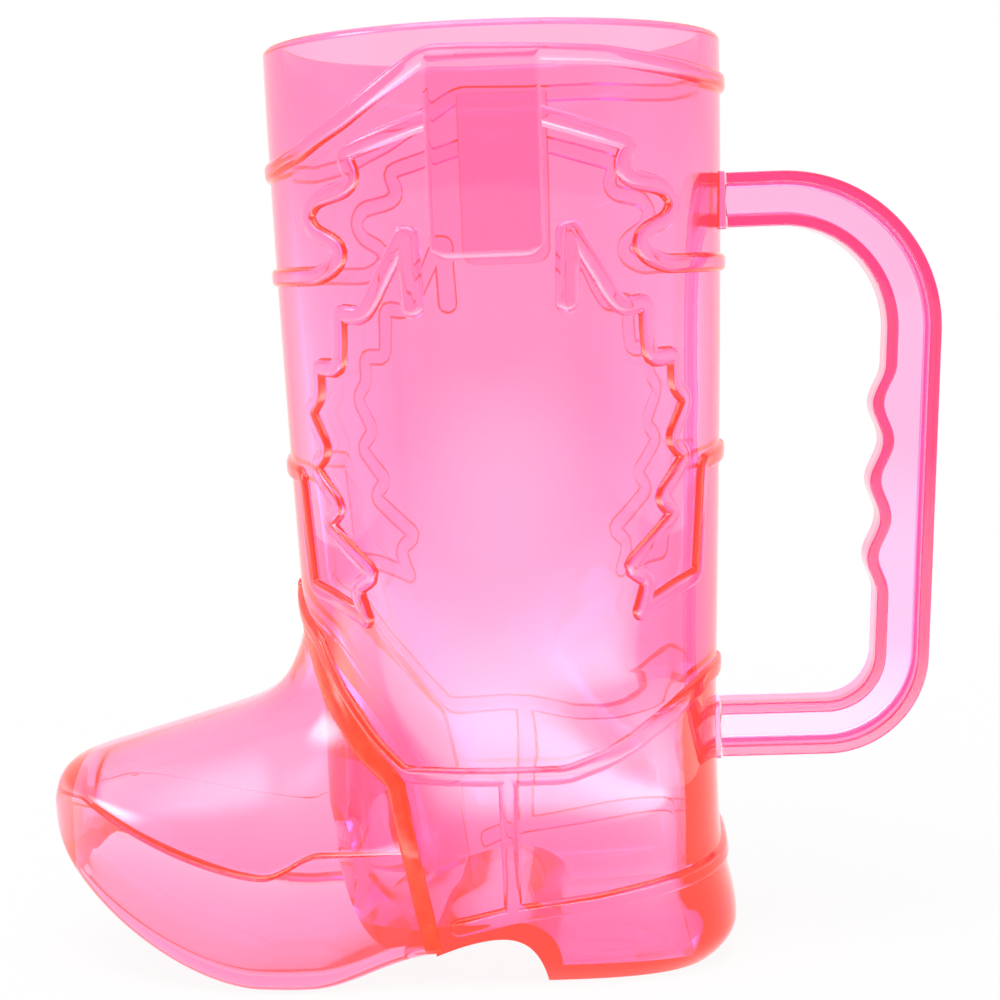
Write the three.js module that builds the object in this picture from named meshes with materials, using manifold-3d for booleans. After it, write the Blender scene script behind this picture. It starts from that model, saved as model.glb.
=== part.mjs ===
// A drinking cup shaped like a western boot: cup body, welded-on toe shell and D-shaped handle.
// Millimetres. The shaft's axis is the working Z axis: -X runs to the toe, +X to the handle,
// and Z runs up from the ground.
import * as THREE from 'three';
import { mergeVertices } from 'three/addons/utils/BufferGeometryUtils.js';
import Module from 'manifold-3d';

const wasm = await Module();
wasm.setup();

// Shaft of the boot, a bowed taper from the rim down to the ankle
const CUP_HEIGHT = 160;
const RIM_RADIUS = 40;
const ANKLE_RADIUS = 36;
const ANKLE_HEIGHT = 37;
const TAPER_POWER = 1.4;
const RIM_WALL = 3.6;
const ANKLE_WALL = 4.6;
const RIM_ROUND = 1.2;

// Foot of the cup body: heel, heel flare, arch and floor
const HEEL_HALF_WIDTH = 30.5;
const SIDE_TAPER_FOOT = -10;
const SIDE_TAPER_TOP = 50;
const SIDE_WALL = 3.7;
const FRONT_THICKENING = 1.8;
const FRONT_THICK_FULL = 35;
const FRONT_THICK_TOP = 68;
const FRONT_THICK_START = 0.35;
const FRONT_THICK_TURN = 0.75;
const HEEL_SQUARENESS = 3.3;
const CORE_SQUARENESS = 5;
const HEEL_SQUARE_FULL = 26;
const HEEL_SQUARE_TOP = 52;
const SOLE_SQUARENESS = 2.5;
const HEEL_FLARE = 2.7;
const HEEL_FLARE_HEIGHT = 6;
const HEEL_FLARE_SPREAD = 10;
const HEEL_EDGE_ROUND = 3;
const HEEL_BREAST_X = 5.5;
const HEEL_BREAST_LEAN = 1;
const ARCH_CROWN_X = -2;
const ARCH_CROWN_HEIGHT = 7.8;
const ARCH_FRONT_BEND = 0.4;
const FLOOR = 3.4;
const ARCH_FLOOR = 2.4;
const FLOOR_SLOPE_DROP = 1;

// Toe shell
const TOE_TIP_X = -83.9;
const TOE_BALL_X = -38;
const TOE_HALF_WIDTH = 34.4;
const TOE_SIDE_TAPER = 0.36;
const TOE_TAPER_POWER = 1.35;
const TOE_PLAN_ROUND = 4;
const TOE_SIDE_ROUND = 30;
const TOE_TIP_BLUNT = 0.003;
const TOE_SEAM_DRAW = 1.6;
const TOE_DOME_POWER = 0.8;
const TOE_DOME_RISE = 1.4;
const TOE_SPRING_X = -44;
const TOE_SPRING = 21.4;
const TOE_SPRING_POWER = 1.65;
const TOE_REST_X = -35;
const TOE_TIP_HEIGHT = 24;
const VAMP_HEIGHT = 47.4;
const VAMP_SLOPE = 0.28;
const INSTEP_FLARE = 12.7;
const INSTEP_FLARE_REACH = 2.9;
const INSTEP_FLARE_GAP = 0.6;
const WELT_DIP_X = -42;
const WELT_HEIGHT = 19.7;
const WELT_TIP_RISE = 16.5;
const WELT_RISE_POWER = 1.5;
const WELT_SEAM_RISE = 3.8;
const WELT_SEAM_X = -32;
const WELT_LEDGE = 0.8;
const WELT_SHARE_MIN = 0.3;
const WELT_SHARE_MAX = 0.75;
const SOLE_CORNER = 3;
const TOE_WALL = 2.6;
const TOE_TIP_WALL = 6;
const TOE_SOLE_WALL = 1.7;
const TOE_UNDERCUT = 1.4;

// Seam between cup body and toe
const SEAM_FOOT_X = -13.3;
const SEAM_FOOT_HEIGHT = 5.2;
const SEAM_BELOW_RIB = 1.8;
const SEAM_LAP = 2;
const FRONT_ROUND_START = -22;
const FRONT_ROUND_KNOT = -31.5;
const FRONT_ROUND_TOP = 17;
const CLEARANCE = 0.3;

// Window that joins the cup and the toe
const WINDOW_HALF_WIDTH = 16;
const WINDOW_TOP = 29;
const WINDOW_SILL = 8;
const WINDOW_CORNER = 9;
const WINDOW_SILL_CORNER = 3;

// Handle, an I-section in the plane Y = 0
const HANDLE_REACH = 77.2;
const HANDLE_FOOT_REACH = 73.9;
const HANDLE_TOP_DROP = 24;
const HANDLE_BOTTOM = 32.9;
const HANDLE_ARM = 9.5;
const HANDLE_WIDTH = 9.4;
const HANDLE_FLANGE = 2;
const HANDLE_WEB = 1.8;
const HANDLE_TOP_BEND = 27.5;
const HANDLE_FOOT_BEND = 18.2;
const FINGER_SWELL = 2;
const FINGER_PITCH = 13.6;
const FINGER_END_SPACE = 4;
const FINGER_RISE = 1.5;
const PAD_PROUD = 0.5;
const PAD_MARGIN = 1.5;

// Raised ornament
const RIB_WIDTH = 3.2;
const RIB_TOP_SHARE = 0.5;
const RIB_HEIGHT = 0.8;
const RIB_ROOT = 0.9;
const RIB_BEND = 1.5;
const RIB_PLAIN_TURN = 30;
const STRAP_HEIGHT = 1.8;
const STRAP_HALF_ANGLE = 13.3;
const STRAP_TOP_DROP = 5;
const STRAP_BOTTOM_DROP = 38;
const STRAP_CORNER = 3;

// Routes of the ribs, as [degrees from the middle of the side, drop below the rim]
const COLLAR_FRONT = [[91, 21.5], [69, 21], [52, 19], [36, 14.6], [24.5, 10], [16.7, 6.7], [12.3, 5.2]];
const COLLAR_BACK = [[12.3, 5.2], [29.2, 6], [44.5, 7.1], [62.5, 8.2], [91, 8.5]];
const UPPER_RIB = [
  [12, 15.2], [36.2, 20], [33.4, 23.8], [35.8, 25.6], [46.7, 27], [50.5, 29.6], [47.7, 32.4],
  [40.2, 34.4], [38.5, 36.1], [40.7, 38.2], [47.1, 39.6], [91, 39.4],
];
const HOOK_RIB = [[18.9, 46.8], [19.7, 33]];
const LOWER_RIB = [
  [19.7, 33], [30.1, 44.2], [33, 46.5], [40.5, 45.7], [40.8, 50.5], [41.6, 55],
  [50.3, 54.7], [50.4, 59.8], [55.4, 62.2], [48.8, 68.8], [55.2, 71.8], [44.7, 78.4],
  [50.5, 81.2], [34.4, 89.4], [40.9, 91.8], [38.1, 97],
];
const BRACKET_RIB = [[91, 72.2], [63.8, 73.6], [61.2, 92.6], [51, 93.8], [38.1, 96.8]];

// Routes of the ribs low on the boot, as [degrees from the middle of the side, height]
const VAMP_FRONT = [[91, 65.3], [61.7, 58], [51.4, 50], [39, 41.9], [29.3, 36.8]];
const VAMP_BACK = [[15.6, 36.9], [26.2, 39.2], [38.1, 42.9], [52.3, 46.5], [67.9, 49.1], [91, 49.7]];
const HEEL_LINE = [[-16.5, 10.4], [0, 12.7], [23.9, 14.5], [42.7, 16.6], [59, 18], [91, 18.2]];

// Fineness of the facets
const ROUND_STEPS = 48;
const SWELL_STEPS = 8;
const RIB_STEP_DEGREES = 8;
const ACROSS = 60;
const DEGREE = Math.PI / 180;

const mix = THREE.MathUtils.lerp;
const smooth = THREE.MathUtils.smoothstep;

// Solids from closed meshes
function solidOf(geometry) {
  const bare = geometry.index ? geometry.clone() : geometry;
  bare.deleteAttribute('normal');
  bare.deleteAttribute('uv');
  const merged = mergeVertices(bare, 1e-4);
  return new wasm.Manifold(new wasm.Mesh({
    numProp: 3,
    vertProperties: new Float32Array(merged.attributes.position.array),
    triVerts: new Uint32Array(merged.index.array),
  }));
}

function geometryOf(solid) {
  const mesh = solid.getMesh();
  const geometry = new THREE.BufferGeometry();
  geometry.setAttribute('position', new THREE.BufferAttribute(mesh.vertProperties, 3));
  geometry.setIndex(new THREE.BufferAttribute(mesh.triVerts, 1));
  geometry.computeVertexNormals();
  return geometry;
}

// Closed skin over a row of rings with equal numbers of points, each end closed by a fan
function loft(rings) {
  const count = rings[0].length;
  const points = rings.flat();
  const index = [];
  for (let i = 0; i + 1 < rings.length; i += 1) {
    for (let j = 0; j < count; j += 1) {
      const a = i * count + j;
      const b = i * count + (j + 1) % count;
      index.push(a, b, b + count, a, b + count, a + count);
    }
  }
  for (const [ring, first, turn] of [[rings[0], 0, 1], [rings.at(-1), points.length - count, 0]]) {
    const middle = points.length;
    const centre = new THREE.Vector3();
    ring.forEach((point) => centre.addScaledVector(point, 1 / count));
    points.push(centre);
    for (let j = 0; j < count; j += 1) {
      const a = first + j;
      const b = first + (j + 1) % count;
      index.push(middle, turn ? b : a, turn ? a : b);
    }
  }
  const geometry = new THREE.BufferGeometry().setFromPoints(points);
  geometry.setIndex(index);
  return solidOf(geometry);
}

// Outline in the X-Z plane, run across the whole width of the boot
function prismAcross(outline, width = 2 * ACROSS) {
  const shape = new THREE.Shape(outline);
  const geometry = new THREE.ExtrudeGeometry(shape, { depth: width, bevelEnabled: false });
  geometry.rotateX(Math.PI / 2);
  geometry.translate(0, width / 2, 0);
  return solidOf(geometry);
}

// Outside of the cup body: round above the ankle, drawn in to the heel below it
function shaftRadius(z) {
  const rise = THREE.MathUtils.clamp((z - ANKLE_HEIGHT) / (CUP_HEIGHT - ANKLE_HEIGHT), 0, 1);
  return mix(ANKLE_RADIUS, RIM_RADIUS, 1 - (1 - rise) ** TAPER_POWER);
}

function ovalRadius(angle, reach, halfWidth, power) {
  const along = Math.abs(Math.cos(angle)) / reach;
  const across = Math.abs(Math.sin(angle)) / halfWidth;
  return (along ** power + across ** power) ** (-1 / power);
}

// How square the foot's plan is at an angle, easing to a circle higher up
function footPower(angle, z, squareness) {
  if (Math.cos(angle) > 0) return mix(squareness, 2, smooth(z, HEEL_SQUARE_FULL, HEEL_SQUARE_TOP));
  return mix(SOLE_SQUARENESS, 2, smooth(z, 0, ANKLE_HEIGHT));
}

function sideWidth(z) {
  return mix(HEEL_HALF_WIDTH, shaftRadius(z), smooth(z, SIDE_TAPER_FOOT, SIDE_TAPER_TOP));
}

function bodyRadius(angle, z) {
  const edge = HEEL_EDGE_ROUND * Math.max(0, 1 - z / (2 * HEEL_EDGE_ROUND)) ** 2;
  const flare = HEEL_FLARE * Math.exp(-(((z - HEEL_FLARE_HEIGHT) / HEEL_FLARE_SPREAD) ** 2));
  const reach = shaftRadius(z) + (Math.cos(angle) > 0 ? flare : 0) - edge;
  return ovalRadius(angle, reach, sideWidth(z) - edge, footPower(angle, z, HEEL_SQUARENESS));
}

// Inside of the cup body, drafted for the core
function coreRadius(angle, z) {
  const rise = (shaftRadius(z) - ANKLE_RADIUS) / (RIM_RADIUS - ANKLE_RADIUS);
  const reach = mix(ANKLE_RADIUS - ANKLE_WALL, RIM_RADIUS - RIM_WALL, rise);
  const inFront = smooth(-Math.cos(angle), FRONT_THICK_START, FRONT_THICK_TURN);
  const below = 1 - smooth(z, FRONT_THICK_FULL, FRONT_THICK_TOP);
  const plain = ovalRadius(angle, reach, sideWidth(z) - SIDE_WALL, footPower(angle, z, CORE_SQUARENESS));
  return plain - FRONT_THICKENING * inFront * below;
}

function ringAt(z, radius) {
  return Array.from({ length: ROUND_STEPS }, (_, i) => {
    const angle = (i / ROUND_STEPS) * 2 * Math.PI;
    const r = radius(angle, z);
    return new THREE.Vector3(r * Math.cos(angle), r * Math.sin(angle), z);
  });
}

// Levels at which the round lofts have a ring
const FOOT_LEVELS = [0, 0.055, 0.16, 0.3, 0.48, 0.72].map((share) => share * ANKLE_HEIGHT);
const SHAFT_LEVELS = [0, 0.06, 0.13, 0.3, 0.6].map((share) => mix(ANKLE_HEIGHT, CUP_HEIGHT, share));

function bodyOuter() {
  const rings = [...FOOT_LEVELS, ...SHAFT_LEVELS, CUP_HEIGHT - RIM_ROUND].map((z) => ringAt(z, bodyRadius));
  rings.push(ringAt(CUP_HEIGHT, (angle, z) => bodyRadius(angle, z) - RIM_ROUND));
  return loft(rings);
}

// The part of the foot that stands inside the toe, drawn in from the outside by the lap
function steppedFoot(lap, floor) {
  const top = VAMP_FRONT[0][1] + RIB_WIDTH;
  const levels = [...FOOT_LEVELS, ANKLE_HEIGHT, mix(ANKLE_HEIGHT, top, 0.5), top];
  const foot = loft(levels.map((z) => ringAt(z, (angle, height) => bodyRadius(angle, height) - lap)));
  return foot.subtract(belowSole(floor));
}

function innerCore() {
  const rings = [...FOOT_LEVELS, ...SHAFT_LEVELS, CUP_HEIGHT - RIM_ROUND].map((z) => ringAt(z, coreRadius));
  const flared = (angle) => coreRadius(angle, CUP_HEIGHT) + RIM_ROUND / 2;
  rings.push(ringAt(CUP_HEIGHT, flared));
  rings.push(ringAt(CUP_HEIGHT + RIM_ROUND, flared));
  return loft(rings).subtract(innerFloor());
}

// Underside of the toe: spring to the tip, flat ball, rise to the arch
function soleHeight(x) {
  if (x < TOE_BALL_X) {
    const share = Math.max(0, TOE_SPRING_X - x) / (TOE_SPRING_X - TOE_TIP_X);
    return TOE_SPRING * share ** TOE_SPRING_POWER;
  }
  return SEAM_FOOT_HEIGHT * smooth(x, TOE_REST_X, SEAM_FOOT_X);
}

// Everything below the foot that stands in the toe: the toe's sole, rounded up under the front
function belowSole(height) {
  const steps = 6;
  const path = new THREE.Path();
  path.moveTo(SEAM_FOOT_X, -ANKLE_HEIGHT);
  for (let i = 0; i <= steps; i += 1) {
    const x = mix(SEAM_FOOT_X, FRONT_ROUND_START, i / steps);
    path.lineTo(x, soleHeight(x) + height);
  }
  const level = soleHeight(FRONT_ROUND_KNOT) + height;
  path.quadraticCurveTo(FRONT_ROUND_KNOT, level, -ANKLE_RADIUS, FRONT_ROUND_TOP + height);
  path.lineTo(-ACROSS, FRONT_ROUND_TOP + height);
  path.lineTo(-ACROSS, -ANKLE_HEIGHT);
  return prismAcross(path.getPoints(6));
}

// Hollow under the arch, from the heel breast forward
function archCut() {
  const path = new THREE.Path();
  path.moveTo(HEEL_BREAST_X, -ANKLE_HEIGHT);
  path.lineTo(HEEL_BREAST_X, 0);
  const leanX = HEEL_BREAST_X - HEEL_BREAST_LEAN;
  path.quadraticCurveTo(leanX, ARCH_CROWN_HEIGHT, ARCH_CROWN_X, ARCH_CROWN_HEIGHT);
  const bendX = mix(ARCH_CROWN_X, SEAM_FOOT_X, ARCH_FRONT_BEND);
  path.quadraticCurveTo(bendX, ARCH_CROWN_HEIGHT, SEAM_FOOT_X, SEAM_FOOT_HEIGHT);
  path.lineTo(-ACROSS, SEAM_FOOT_HEIGHT);
  path.lineTo(-ACROSS, -ANKLE_HEIGHT);
  return prismAcross(path.getPoints(6));
}

// Solid left under the drink: heel floor, hump over the arch and slope down to the window
function innerFloor() {
  const hump = ARCH_CROWN_HEIGHT + ARCH_FLOOR;
  const breastX = HEEL_BREAST_X + ARCH_FLOOR;
  const front = TOE_SOLE_WALL + FLOOR;
  const path = new THREE.Path();
  path.moveTo(ACROSS, -ANKLE_HEIGHT);
  path.lineTo(ACROSS, FLOOR);
  path.lineTo(breastX, FLOOR);
  path.quadraticCurveTo(breastX - HEEL_BREAST_LEAN, hump, ARCH_CROWN_X, hump);
  path.lineTo(SEAM_FOOT_X, SEAM_FOOT_HEIGHT + front - FLOOR_SLOPE_DROP);
  path.lineTo(TOE_BALL_X, front);
  path.lineTo(-ACROSS, front);
  path.lineTo(-ACROSS, -ANKLE_HEIGHT);
  return prismAcross(path.getPoints(5));
}

// All that lies in front of the seam, moved forward by a clearance on the toe's side
function frontOfSeam(clearance) {
  const slant = SEAM_BELOW_RIB / Math.SQRT2;
  const ribSide = VAMP_FRONT.map(([angle, z]) => {
    const x = -shaftRadius(z) * Math.sin(angle * DEGREE);
    return [x - slant, z - slant];
  });
  const seam = [[SEAM_FOOT_X, SEAM_FOOT_HEIGHT], ...ribSide.reverse()];
  const [topX, topZ] = seam.at(-1);
  const outline = [
    [SEAM_FOOT_X, -ANKLE_HEIGHT], ...seam, [topX - SEAM_BELOW_RIB, topZ + SEAM_BELOW_RIB],
    [2 * TOE_TIP_X, topZ + SEAM_BELOW_RIB], [2 * TOE_TIP_X, -ANKLE_HEIGHT],
  ];
  return prismAcross(outline.map(([x, z]) => new THREE.Vector2(x - clearance, z)));
}

// Rounded opening low in the front wall, cut along X
function windowCut() {
  const shape = new THREE.Shape();
  const half = WINDOW_HALF_WIDTH;
  const bend = WINDOW_CORNER;
  const sillBend = WINDOW_SILL_CORNER;
  shape.moveTo(-half + sillBend, WINDOW_SILL);
  shape.lineTo(half - sillBend, WINDOW_SILL);
  shape.quadraticCurveTo(half, WINDOW_SILL, half, WINDOW_SILL + sillBend);
  shape.lineTo(half, WINDOW_TOP - bend);
  shape.quadraticCurveTo(half, WINDOW_TOP, half - bend, WINDOW_TOP);
  shape.lineTo(-half + bend, WINDOW_TOP);
  shape.quadraticCurveTo(-half, WINDOW_TOP, -half, WINDOW_TOP - bend);
  shape.lineTo(-half, WINDOW_SILL + sillBend);
  shape.quadraticCurveTo(-half, WINDOW_SILL, -half + sillBend, WINDOW_SILL);
  const depth = ANKLE_RADIUS;
  const geometry = new THREE.ExtrudeGeometry(shape, { depth, bevelEnabled: false, curveSegments: 5 });
  geometry.rotateX(Math.PI / 2);
  geometry.rotateZ(-Math.PI / 2);
  geometry.translate(-ANKLE_RADIUS / 2, 0, 0);
  return solidOf(geometry);
}

// A point of the cup's outside, raised from it: side is -1 or +1 in Y, degrees run to the back
function onSide(side, degrees, z, raise) {
  const angle = side * (90 - degrees) * DEGREE;
  const r = bodyRadius(angle, z) + raise;
  return new THREE.Vector3(r * Math.cos(angle), r * Math.sin(angle), z);
}

// Route with its corners rounded, then cut into steps that follow the round wall
function ribPoints(route) {
  const scale = ANKLE_RADIUS * DEGREE;
  const knots = route.map(([degrees, z]) => new THREE.Vector2(degrees * scale, z));
  const path = new THREE.Path();
  path.moveTo(knots[0].x, knots[0].y);
  for (let i = 1; i + 1 < knots.length; i += 1) {
    const arrive = knots[i].clone().sub(knots[i - 1]);
    const depart = knots[i + 1].clone().sub(knots[i]);
    if (Math.abs(arrive.angleTo(depart)) < RIB_PLAIN_TURN * DEGREE) {
      path.lineTo(knots[i].x, knots[i].y);
    } else {
      const enter = knots[i].clone().lerp(knots[i - 1], Math.min(0.5, RIB_BEND / arrive.length()));
      const leave = knots[i].clone().lerp(knots[i + 1], Math.min(0.5, RIB_BEND / depart.length()));
      path.lineTo(enter.x, enter.y);
      path.quadraticCurveTo(knots[i].x, knots[i].y, leave.x, leave.y);
    }
  }
  path.lineTo(knots.at(-1).x, knots.at(-1).y);
  const points = path.getPoints(1).filter((p, i, all) => i === 0 || p.distanceTo(all[i - 1]) > 0.05);
  const fine = [points[0]];
  for (let i = 1; i < points.length; i += 1) {
    const from = points[i - 1];
    const pieces = Math.max(1, Math.ceil(Math.abs(points[i].x - from.x) / (RIB_STEP_DEGREES * scale)));
    for (let k = 1; k <= pieces; k += 1) {
      fine.push(from.clone().lerp(points[i], k / pieces));
    }
  }
  return fine.map((p) => p.set(p.x / scale, p.y));
}

// Raised rib with sloping flanks along a route on one side of the boot
function rib(route, side, width = RIB_WIDTH) {
  const scale = ANKLE_RADIUS * DEGREE;
  const points = ribPoints(route);
  const rings = points.map((point, i) => {
    const before = points[Math.max(0, i - 1)];
    const after = points[Math.min(points.length - 1, i + 1)];
    const along = new THREE.Vector2((after.x - before.x) * scale, after.y - before.y).normalize();
    const place = (share, raise) => onSide(
      side,
      point.x - (along.y * share * width) / 2 / scale,
      point.y + (along.x * share * width) / 2,
      raise,
    );
    return [
      place(1, -RIB_ROOT), place(RIB_TOP_SHARE, RIB_HEIGHT),
      place(-RIB_TOP_SHARE, RIB_HEIGHT), place(-1, -RIB_ROOT),
    ];
  });
  return facingOut(rings);
}

// A loft whose rings may run either way round
function facingOut(rings) {
  const ring = rings[0];
  const normal = new THREE.Vector3();
  ring.forEach((point, i) => normal.add(point.clone().cross(ring[(i + 1) % ring.length])));
  const ahead = rings.at(-1)[0].clone().sub(ring[0]);
  const next = rings[1][0].clone().sub(ring[0]);
  const forward = normal.dot(next) || normal.dot(ahead);
  return loft(forward > 0 ? rings : rings.map((points) => [...points].reverse()));
}

// Flat pull strap on one side, with rounded lower corners
function strap(side) {
  const steps = 8;
  const scale = RIM_RADIUS * DEGREE;
  const top = CUP_HEIGHT - STRAP_TOP_DROP;
  const rings = [];
  for (let i = 0; i <= steps; i += 1) {
    const degrees = STRAP_HALF_ANGLE * Math.sin(((i / steps) - 0.5) * Math.PI);
    const fromEdge = (STRAP_HALF_ANGLE - Math.abs(degrees)) * scale;
    const inCorner = Math.max(0, STRAP_CORNER - fromEdge);
    const lift = STRAP_CORNER - Math.sqrt(STRAP_CORNER ** 2 - inCorner ** 2);
    const bottom = CUP_HEIGHT - STRAP_BOTTOM_DROP + lift;
    rings.push([
      onSide(side, degrees, bottom, -RIB_ROOT), onSide(side, degrees, bottom, STRAP_HEIGHT),
      onSide(side, degrees, top, STRAP_HEIGHT), onSide(side, degrees, top, -RIB_ROOT),
    ]);
  }
  return facingOut(rings);
}

function ornament() {
  const fromRim = (route) => route.map(([degrees, drop]) => [degrees, CUP_HEIGHT - drop]);
  const forward = (route) => route.map(([degrees, z]) => [-degrees, z]);
  const parts = [];
  for (const side of [-1, 1]) {
    parts.push(strap(side));
    parts.push(rib(fromRim([...forward(COLLAR_FRONT), ...COLLAR_BACK]), side));
    parts.push(rib([...forward(VAMP_FRONT), ...VAMP_BACK], side));
    parts.push(rib(HEEL_LINE, side));
    parts.push(rib([[0, VAMP_BACK[0][1]], [0, HEEL_LINE[1][1]]], side));
    for (const route of [UPPER_RIB, HOOK_RIB, LOWER_RIB, BRACKET_RIB]) {
      parts.push(rib(fromRim(route), side));
      parts.push(rib(fromRim(forward(route)), side));
    }
  }
  return parts;
}

// Flat seats for the two ends of the handle
const HANDLE_TOP = CUP_HEIGHT - HANDLE_TOP_DROP;
const TOP_SEAT_X = shaftRadius(HANDLE_TOP) + PAD_PROUD;
const BOTTOM_SEAT_X = shaftRadius(HANDLE_BOTTOM + HANDLE_ARM) + PAD_PROUD;

function handlePad(seatX, armBottom) {
  const halfWidth = HANDLE_WIDTH / 2 + PAD_MARGIN;
  const halfHeight = HANDLE_ARM / 2 + PAD_MARGIN;
  const bend = 2 * PAD_MARGIN;
  const shape = new THREE.Shape();
  shape.moveTo(-halfWidth + bend, -halfHeight);
  shape.lineTo(halfWidth - bend, -halfHeight);
  shape.quadraticCurveTo(halfWidth, -halfHeight, halfWidth, -halfHeight + bend);
  shape.lineTo(halfWidth, halfHeight - bend);
  shape.quadraticCurveTo(halfWidth, halfHeight, halfWidth - bend, halfHeight);
  shape.lineTo(-halfWidth + bend, halfHeight);
  shape.quadraticCurveTo(-halfWidth, halfHeight, -halfWidth, halfHeight - bend);
  shape.lineTo(-halfWidth, -halfHeight + bend);
  shape.quadraticCurveTo(-halfWidth, -halfHeight, -halfWidth + bend, -halfHeight);
  const depth = PAD_PROUD + RIM_WALL;
  const geometry = new THREE.ExtrudeGeometry(shape, { depth, bevelEnabled: false, curveSegments: 3 });
  geometry.rotateX(Math.PI / 2);
  geometry.rotateZ(Math.PI / 2);
  geometry.translate(seatX - depth, 0, armBottom + HANDLE_ARM / 2);
  return solidOf(geometry);
}

function cupBody() {
  const step = SEAM_LAP + CLEARANCE;
  const recess = frontOfSeam(0).subtract(steppedFoot(step, TOE_SOLE_WALL + CLEARANCE));
  const raised = wasm.Manifold.union([
    bodyOuter().subtract(recess).subtract(archCut()),
    handlePad(TOP_SEAT_X, HANDLE_TOP - HANDLE_ARM),
    handlePad(BOTTOM_SEAT_X, HANDLE_BOTTOM),
    ...ornament(),
  ]);
  return raised.subtract(innerCore()).subtract(windowCut());
}

// Crease round the toe: lowest beside the ball, up to the tip and a little up to the seam
function weltHeight(x) {
  const ahead = Math.max(0, WELT_DIP_X - x) / (WELT_DIP_X - TOE_TIP_X);
  return WELT_HEIGHT + WELT_TIP_RISE * ahead ** WELT_RISE_POWER
    + WELT_SEAM_RISE * smooth(x, WELT_DIP_X, WELT_SEAM_X);
}

// Walls by which a toe form is drawn in: none for its outside, the shell's own for its inside
const TOE_OUTSIDE = { side: 0, sole: 0, tip: 0 };
const TOE_INSIDE = { side: TOE_WALL, sole: TOE_SOLE_WALL, tip: TOE_TIP_WALL };

// Half of a toe section, from the middle of the underside up to the middle of the top
function toeSection(x, walls) {
  const share = (TOE_BALL_X - x) / (TOE_BALL_X - TOE_TIP_X);
  const ahead = THREE.MathUtils.clamp(share, 0, 1 - TOE_TIP_BLUNT);
  const squeeze = Math.sqrt(1 - ahead ** TOE_SIDE_ROUND);
  const widest = TOE_HALF_WIDTH - TOE_SEAM_DRAW * smooth(x, TOE_BALL_X, SEAM_FOOT_X);
  const tapered = widest * (1 - TOE_SIDE_TAPER * ahead ** TOE_TAPER_POWER);
  const half = tapered * Math.sqrt(1 - ahead ** TOE_PLAN_ROUND) - walls.side;
  const bottom = mix(TOE_TIP_HEIGHT, soleHeight(x), squeeze) + walls.sole;
  const top = mix(TOE_TIP_HEIGHT, VAMP_HEIGHT - VAMP_SLOPE * (TOE_BALL_X - x), squeeze) - walls.side;
  const lowest = mix(bottom, top, WELT_SHARE_MIN);
  const highest = mix(bottom, top, WELT_SHARE_MAX);
  const welt = THREE.MathUtils.clamp(weltHeight(x), lowest, highest);
  const ledge = WELT_LEDGE * squeeze * (1 - smooth(x, TOE_BALL_X, SEAM_FOOT_X));
  const sole = half - TOE_UNDERCUT * squeeze;
  const corner = Math.min(SOLE_CORNER, sole / 2, (welt - bottom) / 2);
  const points = [[0, bottom], [(sole - corner) / 2, bottom]];
  for (let i = 0; i <= 3; i += 1) {
    const turn = (i / 3) * (Math.PI / 2);
    points.push([sole - corner + corner * Math.sin(turn), bottom + corner * (1 - Math.cos(turn))]);
  }
  points.push([half, welt]);
  const domeSteps = 8;
  for (let i = 0; i <= domeSteps; i += 1) {
    const turn = (i / domeSteps) * (Math.PI / 2);
    const y = (half - ledge) * Math.max(0, Math.cos(turn)) ** TOE_DOME_POWER;
    const share = Math.sin(turn);
    const from = Math.max(0, Math.hypot(x, y) - ANKLE_RADIUS - INSTEP_FLARE_GAP + walls.side);
    const flare = INSTEP_FLARE * share * Math.exp(-from / INSTEP_FLARE_REACH);
    points.push([i < domeSteps ? y : 0, mix(welt + ledge / 2, top, share ** TOE_DOME_RISE) + flare]);
  }
  return points;
}

function toeRing(x, walls) {
  const half = toeSection(x, walls);
  const mirrored = half.slice(1, -1).reverse().map(([y, z]) => [-y, z]);
  return [...half, ...mirrored].map(([y, z]) => new THREE.Vector3(x, y, z));
}

// Places of the toe's rings, closer together where it bends more
const TOE_SHARES = [0, 0.02, 0.07, 0.16, 0.3, 0.48, 0.68, 0.86, 0.94];
const INSTEP_SHARES = [0, 0.05, 0.1, 0.2, 0.35, 0.55, 0.77, 1];

function toeForm(walls) {
  const tip = TOE_TIP_X + walls.tip;
  const round = TOE_SHARES.map((share) => mix(tip, TOE_BALL_X, share));
  const instep = INSTEP_SHARES.map((share) => mix(TOE_BALL_X, SEAM_FOOT_X, share));
  const rings = [...round, ...instep].map((x) => toeRing(x, walls));
  return facingOut(rings);
}

function toe() {
  const shell = toeForm(TOE_OUTSIDE).intersect(frontOfSeam(CLEARANCE));
  return shell.subtract(toeForm(TOE_INSIDE)).subtract(steppedFoot(SEAM_LAP, TOE_SOLE_WALL));
}

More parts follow.
